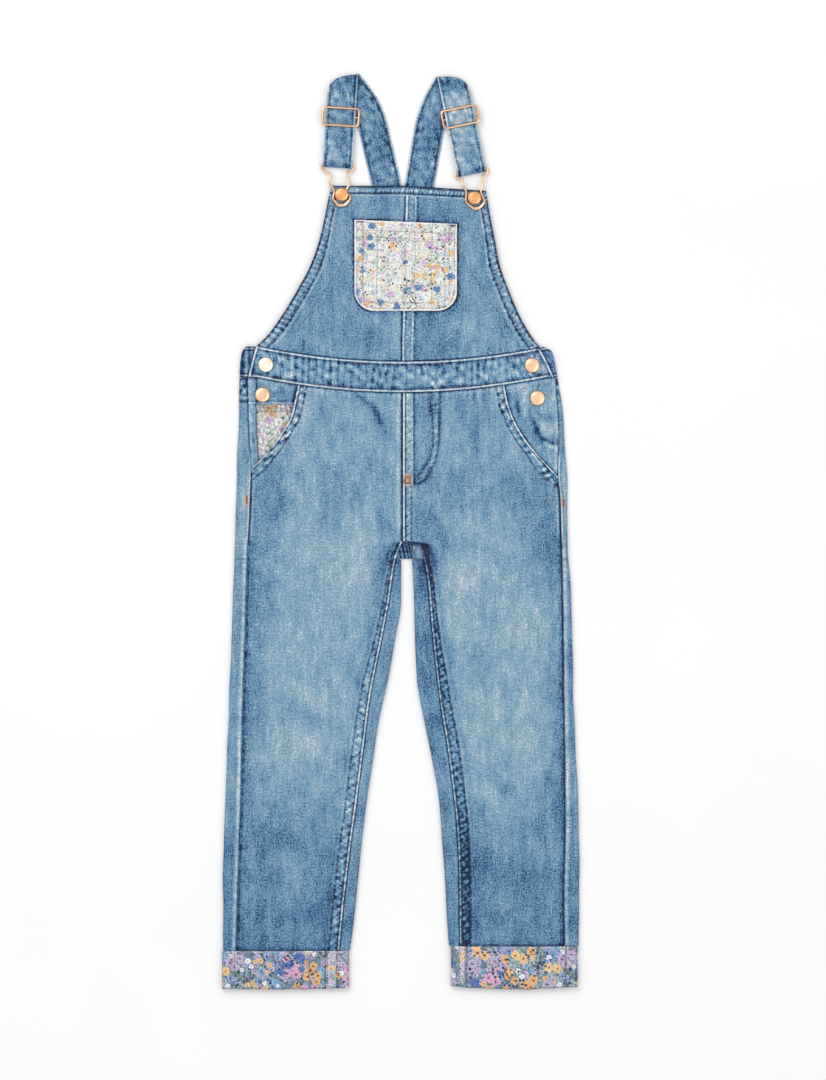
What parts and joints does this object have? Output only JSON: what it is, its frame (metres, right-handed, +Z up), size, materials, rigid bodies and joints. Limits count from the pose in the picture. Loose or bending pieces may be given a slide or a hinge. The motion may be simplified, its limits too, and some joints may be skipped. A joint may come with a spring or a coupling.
{
  "type": "kids dungarees",
  "caption": "Child's denim dungarees laid flat on their back, with a bib, printed pocket and turn-ups, and straps that hook over metal buttons.",
  "frame": {"origin": "middle of the garment's outline, on the surface it lies on", "axes": "+X to the right seen from above, +Y from the hems up to the straps, +Z up out of the front of the garment"},
  "size_m": [0.3569, 0.9149, 0.0095],
  "materials": {
    "denim": "stonewashed blue denim twill",
    "denim_seam": "dark denim at a felled seam",
    "printed_cotton": "plain-weave cotton with a small flower print",
    "metal": "polished rose gold plate"
  },
  "bodies": {
    "root": {"back_leg_left": "denim", "back_leg_right": "denim", "back_yoke_left": "denim", "back_yoke_right": "denim", "waistband_back": "denim", "crotch_band": "denim_seam", "front_leg_left": "denim", "front_leg_right": "denim", "pocket_bag_left": "printed_cotton", "hip_facing_left": "denim", "hip_facing_right": "denim", "waistband_front": "denim", "bib_front_left": "denim", "bib_front_right": "denim", "bib_back": "denim", "bib_pocket": "printed_cotton", "cuff_left": "printed_cotton", "cuff_right": "printed_cotton", "strap_left": "denim", "strap_right": "denim", "slider_left": "metal", "slider_right": "metal", "hook_left": "metal", "hook_right": "metal", "bib_button_left": "metal", "bib_button_right": "metal", "waist_button_upper_left": "metal", "waist_button_upper_right": "metal", "waist_button_lower_left": "metal", "waist_button_lower_right": "metal"}
  },
  "joints": []
}
